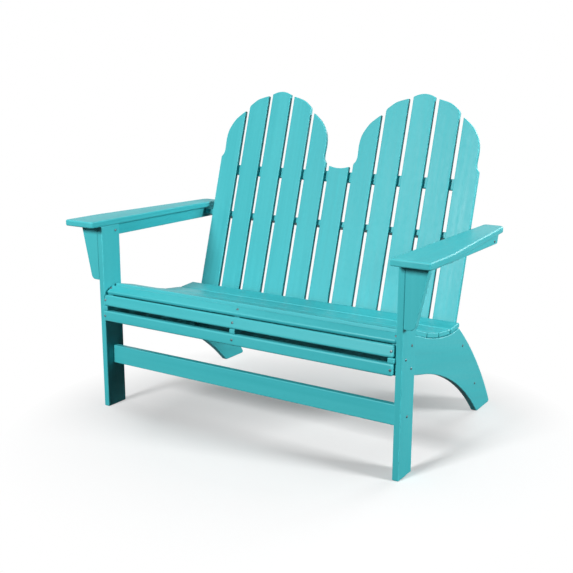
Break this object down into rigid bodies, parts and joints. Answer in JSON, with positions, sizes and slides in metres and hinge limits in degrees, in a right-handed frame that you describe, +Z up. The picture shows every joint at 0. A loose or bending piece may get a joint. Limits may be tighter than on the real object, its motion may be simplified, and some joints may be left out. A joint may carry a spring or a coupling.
{
  "type": "adirondack loveseat",
  "caption": "Two-seat slatted garden chair with two arched back crowns, wide flat arms, a dished slat seat and side panels that sweep down to the rear feet.",
  "frame": {"origin": "on the floor, at the middle of the footprint", "axes": "+X to the right as seen from in front, along the seat's length; +Y from the front of the seat to its back; +Z up"},
  "size_m": [1.391, 0.8646, 1.1199],
  "materials": {
    "lumber": "smooth satin, solid turquoise all through",
    "steel": "stainless screws"
  },
  "bodies": {
    "root": {"arm_left": "lumber", "arm_rail_left": "lumber", "arm_rail_right": "lumber", "arm_rail_screw_left": "steel", "arm_rail_screw_right": "steel", "arm_right": "lumber", "back_slat_01": "lumber", "back_slat_02": "lumber", "back_slat_03": "lumber", "back_slat_04": "lumber", "back_slat_05": "lumber", "back_slat_06": "lumber", "back_slat_07": "lumber", "back_slat_08": "lumber", "back_slat_09": "lumber", "back_slat_10": "lumber", "back_slat_11": "lumber", "corbel_left": "lumber", "corbel_right": "lumber", "foot_screw_left": "steel", "foot_screw_right": "steel", "front_leg_left": "lumber", "front_leg_right": "lumber", "front_stretcher": "lumber", "leg_screw_left_1": "steel", "leg_screw_left_2": "steel", "leg_screw_left_3": "steel", "leg_screw_right_1": "steel", "leg_screw_right_2": "steel", "leg_screw_right_3": "steel", "leg_top_screw_left": "steel", "leg_top_screw_right": "steel", "lower_back_rail": "lumber", "lower_board_screw_left": "steel", "lower_board_screw_middle": "steel", "lower_board_screw_right": "steel", "lower_front_board": "lumber", "middle_seat_support": "lumber", "nosing_screw_left": "steel", "nosing_screw_middle": "steel", "nosing_screw_right": "steel", "rear_seat_rail": "lumber", "seat_nosing": "lumber", "seat_panel_left": "lumber", "seat_panel_right": "lumber", "seat_rail_screw_left": "steel", "seat_rail_screw_right": "steel", "seat_slat_1": "lumber", "seat_slat_2": "lumber", "seat_slat_3": "lumber", "seat_slat_4": "lumber", "seat_slat_5": "lumber", "stretcher_screw_left": "steel", "stretcher_screw_right": "steel", "upper_back_rail": "lumber", "upper_board_screw_left": "steel", "upper_board_screw_middle": "steel", "upper_board_screw_right": "steel", "upper_front_board": "lumber"}
  },
  "joints": []
}
